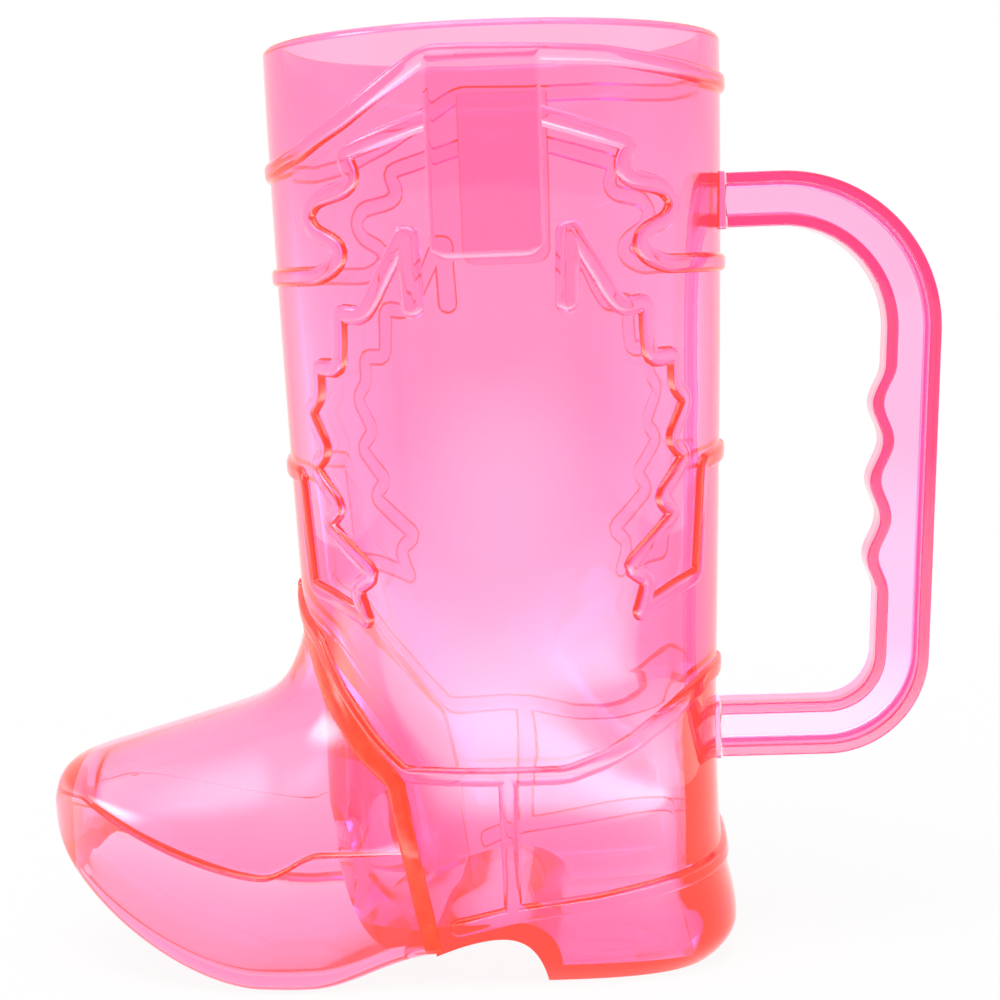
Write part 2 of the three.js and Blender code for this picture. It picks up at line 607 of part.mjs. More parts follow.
// Edges of the handle in its own plane, from the top seat round to the bottom seat
function handleEdge(inset, swells) {
  const top = HANDLE_TOP - inset;
  const bottom = HANDLE_BOTTOM + inset;
  const reach = HANDLE_REACH - inset;
  const footReach = HANDLE_FOOT_REACH - inset;
  const topBend = HANDLE_TOP_BEND - inset;
  const footBend = HANDLE_FOOT_BEND - inset;
  const gripTop = top - topBend;
  const gripFoot = bottom + footBend;
  const path = new THREE.Path();
  path.moveTo(TOP_SEAT_X + CLEARANCE, top);
  path.lineTo(reach - topBend, top);
  path.absarc(reach - topBend, gripTop, topBend, Math.PI / 2, 0, true);
  if (swells) {
    const count = Math.floor((gripTop - gripFoot - 2 * FINGER_END_SPACE) / FINGER_PITCH);
    const start = (gripTop + gripFoot + count * FINGER_PITCH) / 2 + FINGER_RISE;
    for (let i = 0; i <= count * SWELL_STEPS; i += 1) {
      const z = start - (i / SWELL_STEPS) * FINGER_PITCH;
      const swell = FINGER_SWELL * Math.sin((Math.PI * i) / SWELL_STEPS) ** 2;
      path.lineTo(mix(footReach, reach, (z - gripFoot) / (gripTop - gripFoot)) - swell, z);
    }
  }
  path.absarc(footReach - footBend, gripFoot, footBend, 0, -Math.PI / 2, true);
  path.lineTo(BOTTOM_SEAT_X + CLEARANCE, bottom);
  return path.getPoints(7);
}

// Flat band between two edges, centred on the plane Y = 0
function handleBand(outer, inner, width) {
  return prismAcross([...outer, ...[...inner].reverse()], width);
}

function handle() {
  const outside = handleEdge(0, false);
  const inside = handleEdge(HANDLE_ARM, true);
  return wasm.Manifold.union([
    handleBand(outside, inside, HANDLE_WEB),
    handleBand(outside, handleEdge(HANDLE_FLANGE, false), HANDLE_WIDTH),
    handleBand(handleEdge(HANDLE_ARM - HANDLE_FLANGE, true), inside, HANDLE_WIDTH),
  ]);
}

// The assembly, moved so that its origin is under the middle of its box
const boot = new THREE.Group();
boot.position.x = -(TOE_TIP_X + HANDLE_REACH) / 2;

function addPiece(name, solid, color) {
  const material = new THREE.MeshStandardMaterial({
    color, roughness: 0.08, metalness: 0, transparent: true, opacity: 0.6,
  });
  const mesh = new THREE.Mesh(geometryOf(solid), material);
  mesh.name = name;
  boot.add(mesh);
}

addPiece('cup_body', cupBody(), 0xff8fc0);
addPiece('toe', toe(), 0xff86ba);
addPiece('handle', handle(), 0xff5a97);

export default boot;
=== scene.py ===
import math

import bmesh
import bpy
import numpy as np
from mathutils import Matrix, Vector
from mathutils.bvhtree import BVHTree


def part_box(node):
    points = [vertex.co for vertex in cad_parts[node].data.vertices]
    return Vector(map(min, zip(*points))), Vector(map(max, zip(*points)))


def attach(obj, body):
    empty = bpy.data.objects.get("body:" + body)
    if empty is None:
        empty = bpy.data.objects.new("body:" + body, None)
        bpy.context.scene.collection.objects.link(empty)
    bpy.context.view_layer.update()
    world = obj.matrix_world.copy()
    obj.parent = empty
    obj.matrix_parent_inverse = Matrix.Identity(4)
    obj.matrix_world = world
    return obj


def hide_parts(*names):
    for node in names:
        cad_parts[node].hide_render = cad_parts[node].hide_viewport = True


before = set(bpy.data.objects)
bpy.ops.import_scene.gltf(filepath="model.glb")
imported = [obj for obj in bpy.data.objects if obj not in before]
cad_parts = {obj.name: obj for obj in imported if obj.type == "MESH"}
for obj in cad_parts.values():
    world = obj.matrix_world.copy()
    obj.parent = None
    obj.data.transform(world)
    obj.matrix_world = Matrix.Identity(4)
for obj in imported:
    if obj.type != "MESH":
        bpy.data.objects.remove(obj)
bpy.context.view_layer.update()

# Sizes in millimetres, in the part's own frame: shaft axis at X = Y = 0, toe towards -X, ground at Z = 0
MM = 0.001
CUP_HEIGHT = 160
RIM_RADIUS = 40
ANKLE_RADIUS = 36
ANKLE_HEIGHT = 37
TAPER_POWER = 1.4
RIM_WALL = 3.6
ANKLE_WALL = 4.6
RIM_ROUND = 1.2

# Foot of the cup body
HEEL_HALF_WIDTH = 30.5
SIDE_TAPER_FOOT = -10
SIDE_TAPER_TOP = 50
HEEL_SQUARENESS = 3.3
CORE_SQUARENESS = 5
HEEL_SQUARE_FULL = 26
HEEL_SQUARE_TOP = 52
SOLE_SQUARENESS = 2.5
HEEL_FLARE = 2.7
HEEL_FLARE_HEIGHT = 6
HEEL_FLARE_SPREAD = 10
HEEL_EDGE_ROUND = 3
SIDE_WALL = 3.7
HEEL_THICKENING = 2.5
HEEL_THICK_FULL = 9
HEEL_THICK_TOP = 18
FRONT_THICKENING = 2.4
FRONT_THICK_FULL = 35
FRONT_THICK_TOP = 68
FRONT_THICK_START = 0.1
FRONT_THICK_TURN = 1
HEEL_BREAST_X = 5.5
HEEL_BREAST_LEAN = 1
ARCH_CROWN_X = -2
ARCH_CROWN_HEIGHT = 8.3
ARCH_FRONT_BEND = 0.4
FLOOR = 3.4
ARCH_FLOOR = 2.4
FLOOR_SLOPE_DROP = 1

# Toe shell
TOE_TIP_X = -83.9
TOE_BALL_X = -38
TOE_HALF_WIDTH = 34.4
TOE_SIDE_TAPER = 0.36
TOE_TAPER_POWER = 1.35
TOE_PLAN_ROUND = 4
TOE_SIDE_ROUND = 30
TOE_TIP_BLUNT = 0.003
TOE_SEAM_DRAW = 1.6
TOE_DOME_POWER = 0.8
TOE_DOME_RISE = 1.4
TOE_SPRING_X = -44
TOE_SPRING = 21.4
TOE_SPRING_POWER = 1.65
TOE_REST_X = -35
TOE_TIP_HEIGHT = 24
VAMP_HEIGHT = 47.4
VAMP_SLOPE = 0.28
INSTEP_FLARE = 12.7
INSTEP_FLARE_REACH = 2.9
INSTEP_FLARE_GAP = 0.6
WELT_DIP_X = -42
WELT_HEIGHT = 19.7
WELT_TIP_RISE = 16.5
WELT_RISE_POWER = 1.5
WELT_SEAM_RISE = 3.8
WELT_SEAM_X = -32
WELT_LEDGE = 0.8
WELT_SHARE_MIN = 0.3
WELT_SHARE_MAX = 0.75
SOLE_CORNER = 3
TOE_WALL = 2.6
TOE_TIP_WALL = 7
TOE_FOOT_WALL = 2
SOLE_EDGE_THINNING = 1
TOE_SOLE_WALL = 1.7
TOE_UNDERCUT = 1.4

# Seam between cup body and toe, and the window behind it
SEAM_FOOT_X = -13.3
SEAM_FOOT_HEIGHT = 5.2
SEAM_BELOW_RIB = 1.8
SEAM_LAP = 2
FRONT_ROUND_START = -20
FRONT_ROUND_KNOT = -29
FRONT_ROUND_X = -34.5
FRONT_ROUND_TOP = 28
CLEARANCE = 0.3
WELD_WIDTH = 3
WELD_WIDTH_TOP = 3.8
WELD_WIDEN = 6
WELD_RAISE = 0.4
WELD_DEPTH = 1.6
WELD_START = 1
WELD_END = 1
WINDOW_HALF_WIDTH = 13.4
WINDOW_TOP = 27
WINDOW_SILL = 8.5
WINDOW_CORNER = 9
WINDOW_SILL_CORNER = 3
WINDOW_FRONT_X = -1.5 * ANKLE_RADIUS
WINDOW_BACK_X = -0.5 * ANKLE_RADIUS

# Handle
HANDLE_REACH = 77.2
HANDLE_FOOT_REACH = 73.9
HANDLE_TOP_DROP = 24
HANDLE_BOTTOM = 32.9
HANDLE_ARM = 9.5
HANDLE_WIDTH = 9.4
HANDLE_FLANGE = 2
HANDLE_WEB = 1.55
HANDLE_TOP_BEND = 27.5
HANDLE_FOOT_BEND = 18.2
HANDLE_EDGE_ROUND = 0.3
HANDLE_FILLET = 0.6
FINGER_SWELL = 2
FINGER_PITCH = 13.6
FINGER_COUNT = 3
FINGER_RISE = 1.5
PAD_PROUD = 0.5
PAD_MARGIN = 0.3
PAD_CORNER = 0.6

# Raised ornament
RIB_WIDTH = 3.6
HOOK_WIDTH = 4.3
RIB_HEIGHT = 0.9
RIB_ROOT = 0.9
RIB_BEND = 1.5
RIB_FLATNESS = 4
RIB_SHOULDER = 0.6
STRAP_HEIGHT = 1.8
STRAP_HALF_ANGLE = 13.3
STRAP_TOP_DROP = 5
STRAP_BOTTOM_DROP = 38
STRAP_CORNER = 3
STRAP_EDGE = 1.2

# Routes of the ribs, as [degrees from the middle of the side, drop below the rim]
COLLAR_FRONT = [[91, 21.5], [69, 21], [52, 19], [36, 14.6], [24.5, 10], [16.7, 6.7], [12.3, 5.2]]
COLLAR_BACK = [[12.3, 5.2], [29.2, 6], [44.5, 7.1], [62.5, 8.2], [91, 8.5]]
UPPER_RIB = [
    [12, 15.2], [36.2, 20], [33.4, 23.8], [35.8, 25.6], [46.7, 27], [50.5, 29.6], [47.7, 32.4],
    [40.2, 34.4], [38.5, 36.1], [40.7, 38.2], [47.1, 39.6], [91, 39.4],
]
HOOK_RIB = [[18.8, 45.2], [19.3, 34]]
LOWER_RIB = [
    [20.3, 33.6], [30.1, 44.2], [33, 46.5], [40.5, 45.7], [40.8, 50.5], [41.6, 55],
    [50.3, 54.7], [50.4, 59.8], [55.4, 62.2], [48.8, 68.8], [55.2, 71.8], [44.7, 78.4],
    [50.5, 81.2], [34.4, 89.4], [40.9, 91.8], [38.1, 97],
]
BRACKET_RIB = [[91, 72.2], [63.8, 73.6], [61.2, 92.6], [51, 93.8], [38.1, 96.8]]

# Routes of the ribs low on the boot, as [degrees from the middle of the side, height]
VAMP_FRONT = [[91, 65.3], [61.7, 58], [51.4, 50], [39, 41.9], [29.3, 36.8]]
VAMP_BACK = [[15.6, 36.9], [26.2, 39.2], [38.1, 42.9], [52.3, 46.5], [67.9, 49.1], [91, 49.7]]
HEEL_LINE = [[-16.5, 10.4], [0, 12.7], [23.9, 14.5], [42.7, 16.6], [59, 18], [91, 18.2]]

# Fineness of the surfaces: steps and points along lines, lengths in millimetres
ROUND_STEPS = 288
FOOT_FINE_TOP = 2
FOOT_FINE_STEP = 0.25
FOOT_STEP = 0.75
SHAFT_STEPS = 40
RIM_STEPS = 8
STEPPED_FOOT_STEPS = 12
CURVE_STEPS = 24
ARCH_FRONT_STEPS = 16
CORNER_STEPS = 10
STRAP_COLUMNS = 48
STRAP_ROWS = 40
RIB_STEP = 0.8
RIB_BEND_STEPS = 6
RIB_SECTION = 21
RIB_END_STEPS = 12
RIB_END_TURN = math.radians(87)
SOLE_STEPS = 8
SOLE_CORNER_STEPS = 20
TOE_SIDE_STEPS = 16
DOME_STEPS = 48
TOE_RINGS = 60
TOE_RING_CROWDING = 1.2
INSTEP_RINGS = 70
WELD_STEP = 0.8
WELD_SECTION = 16
HANDLE_CORNER_STEPS = 5
HANDLE_ARM_RINGS = 12
HANDLE_TOP_RINGS = 48
HANDLE_GRIP_RINGS = 121
HANDLE_FOOT_RINGS = 40
SMOOTH_ANGLE = math.radians(38)

# Half the length of a cut that runs right through the part
ACROSS = 60

# The shaft's axis in the frame, from the place of the toe's tip
AXIS_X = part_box("toe")[0].x / MM - TOE_TIP_X


def mix(low, high, share):
    return low + (high - low) * share


def smooth(x, low, high):
    t = np.clip((x - low) / (high - low), 0, 1)
    return t * t * (3 - 2 * t)


# Solids as Blender objects
def solid(name, points, faces):
    mesh = bpy.data.meshes.new(name)
    placed = (np.asarray(points, float) + [AXIS_X, 0, 0]) * MM
    mesh.from_pydata(placed.tolist(), [], faces)
    tidy = bmesh.new()
    tidy.from_mesh(mesh)
    bmesh.ops.recalc_face_normals(tidy, faces=tidy.faces)
    tidy.to_mesh(mesh)
    tidy.free()
    made = bpy.data.objects.new(name, mesh)
    bpy.context.scene.collection.objects.link(made)
    return made


def combined(target, tool, operation):
    """Target after a join or cut with a tool, which is used up."""
    step = target.modifiers.new("combine", "BOOLEAN")
    step.operation = operation
    step.solver = "MANIFOLD"
    step.object = tool
    seen = target.evaluated_get(bpy.context.evaluated_depsgraph_get())
    result = bpy.data.meshes.new_from_object(seen)
    target.modifiers.clear()
    target.data = result
    bpy.data.objects.remove(tool)
    return target


def loft(name, rings):
    """Closed skin over rings with equal numbers of points, each end closed by a fan."""
    rings = np.asarray(rings, float)
    count = rings.shape[1]
    points = rings.reshape(-1, 3).tolist()
    faces = []
    for i in range(len(rings) - 1):
        for j in range(count):
            a = i * count + j
            b = i * count + (j + 1) % count
            faces.append((a, b, b + count, a + count))
    for ring, first in ((rings[0], 0), (rings[-1], (len(rings) - 1) * count)):
        middle = len(points)
        points.append(ring.mean(0).tolist())
        faces += [(first + j, first + (j + 1) % count, middle) for j in range(count)]
    return solid(name, points, faces)


def prism_across(name, outline, width=2 * ACROSS):
    """Outline in the X-Z plane, run across the boot."""
    ends = [[(x, y, z) for x, z in outline] for y in (-width / 2, width / 2)]
    count = len(outline)
    faces = [tuple(range(count)), tuple(range(2 * count - 1, count - 1, -1))]
    faces += [(j, j + count, (j + 1) % count + count, (j + 1) % count) for j in range(count)]
    return solid(name, ends[0] + ends[1], faces)


def bend(start, knot, end, steps):
    """Points of a quadratic curve after its start."""
    t = np.linspace(0, 1, steps + 1)[1:, None]
    start, knot, end = (np.asarray(p, float) for p in (start, knot, end))
    return ((1 - t) ** 2 * start + 2 * t * (1 - t) * knot + t**2 * end).tolist()


# Outside and inside of the cup body
def shaft_radius(z):
    rise = np.clip((z - ANKLE_HEIGHT) / (CUP_HEIGHT - ANKLE_HEIGHT), 0, 1)
    return mix(ANKLE_RADIUS, RIM_RADIUS, 1 - (1 - rise) ** TAPER_POWER)


def oval_radius(angle, reach, half_width, power):
    along = np.abs(np.cos(angle)) / reach
    across = np.abs(np.sin(angle)) / half_width
    return (along**power + across**power) ** (-1 / power)


def foot_power(angle, z, squareness):
    back = mix(squareness, 2, smooth(z, HEEL_SQUARE_FULL, HEEL_SQUARE_TOP))
    front = mix(SOLE_SQUARENESS, 2, smooth(z, 0, ANKLE_HEIGHT))
    return np.where(np.cos(angle) > 0, back, front)


def side_width(z):
    return mix(HEEL_HALF_WIDTH, shaft_radius(z), smooth(z, SIDE_TAPER_FOOT, SIDE_TAPER_TOP))


def body_radius(angle, z):
    edge = HEEL_EDGE_ROUND * np.maximum(0, 1 - z / (2 * HEEL_EDGE_ROUND)) ** 2
    flare = HEEL_FLARE * np.exp(-(((z - HEEL_FLARE_HEIGHT) / HEEL_FLARE_SPREAD) ** 2))
    reach = shaft_radius(z) + np.where(np.cos(angle) > 0, flare, 0) - edge
    return oval_radius(angle, reach, side_width(z) - edge, foot_power(angle, z, HEEL_SQUARENESS))


def core_radius(angle, z):
    ankle = ANKLE_RADIUS - ANKLE_WALL
    rise = (shaft_radius(z) - ANKLE_RADIUS) / (RIM_RADIUS - ANKLE_RADIUS)
    reach = mix(ankle, RIM_RADIUS - RIM_WALL, rise)
    in_front = smooth(-np.cos(angle), FRONT_THICK_START, FRONT_THICK_TURN)
    below = 1 - smooth(z, FRONT_THICK_FULL, FRONT_THICK_TOP)
    wall = SIDE_WALL + HEEL_THICKENING * (1 - smooth(z, HEEL_THICK_FULL, HEEL_THICK_TOP))
    plain = oval_radius(angle, reach, side_width(z) - wall, foot_power(angle, z, CORE_SQUARENESS))
    return plain - FRONT_THICKENING * in_front * below


def round_loft(name, levels, radius, insets=None):
    """Loft of rings round the axis, each drawn in by its own inset."""
    angle = np.linspace(0, 2 * math.pi, ROUND_STEPS, endpoint=False)[None, :]
    z = np.asarray(levels, float)[:, None]
    inset = np.zeros_like(z) if insets is None else np.asarray(insets, float)[:, None]
    r = radius(angle, np.minimum(z, CUP_HEIGHT)) - inset
    rings = np.stack([r * np.cos(angle), r * np.sin(angle), z + 0 * angle], axis=2)
    return loft(name, rings)


FOOT_LEVELS = np.concatenate([
    np.arange(0, FOOT_FINE_TOP, FOOT_FINE_STEP),
    np.arange(FOOT_FINE_TOP, ANKLE_HEIGHT, FOOT_STEP),
])
SHAFT_LEVELS = np.linspace(ANKLE_HEIGHT, CUP_HEIGHT - RIM_ROUND, SHAFT_STEPS)
RIM_TURN = np.linspace(0, math.pi / 2, RIM_STEPS)[1:]
RIM_LEVELS = CUP_HEIGHT - RIM_ROUND * (1 - np.sin(RIM_TURN))
RIM_INSETS = RIM_ROUND * (1 - np.cos(RIM_TURN))
BELOW_RIM_INSETS = np.zeros(len(FOOT_LEVELS) + len(SHAFT_LEVELS))


def body_outer():
    levels = np.concatenate([FOOT_LEVELS, SHAFT_LEVELS, RIM_LEVELS])
    insets = np.concatenate([BELOW_RIM_INSETS, RIM_INSETS])
    return round_loft("cup_body_fine", levels, body_radius, insets)


def inner_core():
    levels = np.concatenate([FOOT_LEVELS, SHAFT_LEVELS, RIM_LEVELS, [CUP_HEIGHT + RIM_ROUND]])
    insets = np.concatenate([BELOW_RIM_INSETS, -RIM_INSETS, -RIM_INSETS[-1:]])
    return combined(round_loft("core", levels, core_radius, insets), inner_floor(), "DIFFERENCE")


def stepped_foot(lap, floor):
    top = VAMP_FRONT[0][1] + RIB_WIDTH
    levels = np.concatenate([FOOT_LEVELS, np.linspace(ANKLE_HEIGHT, top, STEPPED_FOOT_STEPS)])
    foot = round_loft("foot", levels, body_radius, np.full(len(levels), lap))
    return combined(foot, below_sole(floor), "DIFFERENCE")


def sole_height(x):
    ahead = np.maximum(0, TOE_SPRING_X - x) / (TOE_SPRING_X - TOE_TIP_X)
    return TOE_SPRING * ahead**TOE_SPRING_POWER + SEAM_FOOT_HEIGHT * smooth(x, TOE_REST_X, SEAM_FOOT_X)


def below_sole(height):
    """Everything below the foot that stands in the toe: the toe's sole, rounded up under the front."""
    places = np.linspace(SEAM_FOOT_X, FRONT_ROUND_START, CURVE_STEPS)
    line = [(x, sole_height(x) + height) for x in places]
    level = (FRONT_ROUND_KNOT, sole_height(FRONT_ROUND_KNOT) + height)
    front = (FRONT_ROUND_X, FRONT_ROUND_TOP + height)
    outline = [(SEAM_FOOT_X, -ANKLE_HEIGHT), *line, *bend(line[-1], level, front, CURVE_STEPS)]
    outline += [(-ACROSS, FRONT_ROUND_TOP + height), (-ACROSS, -ANKLE_HEIGHT)]
    return prism_across("below_sole", outline)


def arch_cut():
    breast = (HEEL_BREAST_X, 0)
    crown = (ARCH_CROWN_X, ARCH_CROWN_HEIGHT)
    seam = (SEAM_FOOT_X, SEAM_FOOT_HEIGHT)
    front_x = mix(ARCH_CROWN_X, SEAM_FOOT_X, ARCH_FRONT_BEND)
    outline = [(HEEL_BREAST_X, -ANKLE_HEIGHT), breast]
    outline += bend(breast, (HEEL_BREAST_X - HEEL_BREAST_LEAN, ARCH_CROWN_HEIGHT), crown, CURVE_STEPS)
    outline += bend(crown, (front_x, ARCH_CROWN_HEIGHT), seam, ARCH_FRONT_STEPS)
    outline += [(-ACROSS, SEAM_FOOT_HEIGHT), (-ACROSS, -ANKLE_HEIGHT)]
    return prism_across("arch", outline)


def inner_floor():
    hump = (ARCH_CROWN_X, ARCH_CROWN_HEIGHT + ARCH_FLOOR)
    breast = (HEEL_BREAST_X + ARCH_FLOOR, FLOOR)
    outline = [(ACROSS, -ANKLE_HEIGHT), (ACROSS, FLOOR), breast]
    outline += bend(breast, (breast[0] - HEEL_BREAST_LEAN, hump[1]), hump, CURVE_STEPS)
    front = TOE_SOLE_WALL + FLOOR
    outline.append((SEAM_FOOT_X, SEAM_FOOT_HEIGHT + front - FLOOR_SLOPE_DROP))
    outline += [(TOE_BALL_X, front), (-ACROSS, front), (-ACROSS, -ANKLE_HEIGHT)]
    return prism_across("inner_floor", outline)


def seam_line():
    """Seam in the X-Z plane, from the arch up to the front of the shaft."""
    slant = SEAM_BELOW_RIB / math.sqrt(2)
    seam = [(SEAM_FOOT_X, SEAM_FOOT_HEIGHT)]
    for degrees, z in reversed(VAMP_FRONT):
        x = -shaft_radius(z) * math.sin(math.radians(degrees))
        seam.append((x - slant, z - slant))
    return seam


def front_of_seam(clearance):
    seam = seam_line()
    top_x, top_z = seam[-1]
    outline = [(SEAM_FOOT_X, -ANKLE_HEIGHT), *seam, (top_x - SEAM_BELOW_RIB, top_z + SEAM_BELOW_RIB)]
    outline += [(2 * TOE_TIP_X, top_z + SEAM_BELOW_RIB), (2 * TOE_TIP_X, -ANKLE_HEIGHT)]
    return prism_across("seam", [(x - clearance, z) for x, z in outline])


def rounded_box(half, low, high, low_bend, high_bend):
    """Closed outline with rounded corners."""
    corners = [
        (half, low, low_bend), (half, high, high_bend),
        (-half, high, high_bend), (-half, low, low_bend),
    ]
    outline = []
    for i, (x, z, corner) in enumerate(corners):
        side = math.copysign(corner, -x)
        lift = corner if z == low else -corner
        along, upright = (x + side, z), (x, z + lift)
        start, end = (along, upright) if i % 2 == 0 else (upright, along)
        outline += [start, *bend(start, (x, z), end, CORNER_STEPS)]
    return outline


def prism_along(name, outline, start_x, end_x):
    """Outline in the Y-Z plane, run along X."""
    rings = [[(x, y, z) for y, z in outline] for x in (start_x, end_x)]
    return loft(name, rings)


def window_cut():
    outline = rounded_box(WINDOW_HALF_WIDTH, WINDOW_SILL, WINDOW_TOP, WINDOW_SILL_CORNER, WINDOW_CORNER)
    return prism_along("window", outline, WINDOW_FRONT_X, WINDOW_BACK_X)


# Raised ornament
def on_side(side, degrees, z, height):
    angle = side * np.radians(90 - degrees)
    r = body_radius(angle, z) + height
    return np.stack([r * np.cos(angle), r * np.sin(angle), z], axis=-1)


def rib_points(route):
    """Route with rounded corners, in steps of equal length."""
    scale = math.radians(ANKLE_RADIUS)
    knots = np.array(route, float) * [scale, 1]
    line = [knots[0]]
    for before, knot, after in zip(knots, knots[1:], knots[2:]):
        enter = mix(knot, before, min(0.5, RIB_BEND / np.linalg.norm(knot - before)))
        leave = mix(knot, after, min(0.5, RIB_BEND / np.linalg.norm(after - knot)))
        line += [enter, *bend(enter, knot, leave, RIB_BEND_STEPS)]
    line = np.array([*line, knots[-1]])
    run = np.concatenate([[0], np.cumsum(np.linalg.norm(np.diff(line, axis=0), axis=1))])
    places = np.linspace(0, run[-1], max(2, math.ceil(run[-1] / RIB_STEP)) + 1)
    return np.stack([np.interp(places, run, line[:, k]) for k in (0, 1)], axis=1)


def rib(route, side, width=RIB_WIDTH):
    scale = math.radians(ANKLE_RADIUS)
    points = rib_points(route)
    along = np.gradient(points, axis=0)
    along /= np.linalg.norm(along, axis=1)[:, None]
    turn = np.linspace(0, RIB_END_TURN, RIB_END_STEPS + 1)[1:]
    past = width / 2 * np.sin(turn)[:, None]
    points = np.concatenate([points[0] - past[::-1] * along[0], points, points[-1] + past * along[-1]])
    ends = [np.repeat(along[[k]], RIB_END_STEPS, 0) for k in (0, -1)]
    along = np.concatenate([ends[0], along, ends[1]])
    narrow = np.ones(len(points))
    narrow[:RIB_END_STEPS] = np.cos(turn[::-1])
    narrow[-RIB_END_STEPS:] = np.cos(turn)
    share = np.cos(np.linspace(0, math.pi, RIB_SECTION))
    from_middle = np.sqrt(1 - narrow[:, None] ** 2 * (1 - share[None, :] ** 2))
    rise = np.maximum(0, 1 - from_middle**RIB_FLATNESS) ** RIB_SHOULDER
    height = (RIB_ROOT + RIB_HEIGHT) * rise - RIB_ROOT
    offset = narrow[:, None] * share[None, :] * width / 2
    degrees = (points[:, :1] - along[:, 1:] * offset) / scale
    z = points[:, 1:] + along[:, :1] * offset
    return loft("rib", on_side(side, degrees, z, height))


def strap(side):
    scale = math.radians(RIM_RADIUS)
    degrees = STRAP_HALF_ANGLE * np.sin(np.linspace(-0.5, 0.5, STRAP_COLUMNS) * math.pi)[:, None]
    from_side = (STRAP_HALF_ANGLE - np.abs(degrees)) * scale
    in_corner = np.maximum(0, STRAP_CORNER - from_side)
    lift = STRAP_CORNER - np.sqrt(STRAP_CORNER**2 - in_corner**2)
    low = CUP_HEIGHT - STRAP_BOTTOM_DROP + lift
    high = CUP_HEIGHT - STRAP_TOP_DROP
    share = (1 - np.cos(np.linspace(0, math.pi, STRAP_ROWS)[None, :])) / 2
    z = mix(low, high, share)
    from_edge = np.minimum(np.minimum(z - low, high - z), from_side)
    height = STRAP_HEIGHT * np.sqrt(smooth(from_edge, -STRAP_EDGE, STRAP_EDGE))
    height[:, [0, -1]] = 0
    height[[0, -1], :] = 0
    outer = on_side(side, degrees + 0 * z, z, height)
    inner = on_side(side, degrees + 0 * z, z, np.full_like(z, -RIB_ROOT))
    return loft("strap", np.concatenate([outer, inner[:, ::-1]], axis=1))


def handle_pad(seat_x, arm_bottom):
    half = HANDLE_WIDTH / 2 + PAD_MARGIN
    low = arm_bottom - PAD_MARGIN
    high = arm_bottom + HANDLE_ARM + PAD_MARGIN
    outline = rounded_box(half, low, high, PAD_CORNER, PAD_CORNER)
    return prism_along("pad", outline, seat_x - PAD_PROUD - RIM_WALL, seat_x)


HANDLE_TOP = CUP_HEIGHT - HANDLE_TOP_DROP
TOP_SEAT_X = shaft_radius(HANDLE_TOP) + PAD_PROUD
BOTTOM_SEAT_X = shaft_radius(HANDLE_BOTTOM + HANDLE_ARM) + PAD_PROUD


def ornament():
    def from_rim(route):
        return [[degrees, CUP_HEIGHT - drop] for degrees, drop in route]

    def forward(route):
        return [[-degrees, z] for degrees, z in route]

    made = []
    for side in (-1, 1):
        made.append(strap(side))
        made.append(rib(from_rim(forward(COLLAR_FRONT) + COLLAR_BACK[1:]), side))
        made.append(rib(forward(VAMP_FRONT) + VAMP_BACK, side))
        made.append(rib(HEEL_LINE, side))
        made.append(rib([[0, VAMP_BACK[0][1]], [0, HEEL_LINE[1][1]]], side))
        for route in (UPPER_RIB, HOOK_RIB, LOWER_RIB, BRACKET_RIB):
            width = HOOK_WIDTH if route is HOOK_RIB else RIB_WIDTH
            made.append(rib(from_rim(route), side, width))
            made.append(rib(from_rim(forward(route)), side, width))
    return made


def cup_body():
    foot = stepped_foot(SEAM_LAP + CLEARANCE, TOE_SOLE_WALL + CLEARANCE)
    recess = combined(front_of_seam(0), foot, "DIFFERENCE")
    body = combined(combined(body_outer(), recess, "DIFFERENCE"), arch_cut(), "DIFFERENCE")
    raised = ornament()
    raised.append(handle_pad(TOP_SEAT_X, HANDLE_TOP - HANDLE_ARM))
    raised.append(handle_pad(BOTTOM_SEAT_X, HANDLE_BOTTOM))
    for piece in raised:
        combined(body, piece, "UNION")
    combined(body, inner_core(), "DIFFERENCE")
    return combined(body, window_cut(), "DIFFERENCE")


# Toe shell
def welt_height(x):
    ahead = np.maximum(0, WELT_DIP_X - x) / (WELT_DIP_X - TOE_TIP_X)
    rise = WELT_TIP_RISE * ahead**WELT_RISE_POWER
    return WELT_HEIGHT + rise + WELT_SEAM_RISE * smooth(x, WELT_DIP_X, WELT_SEAM_X)


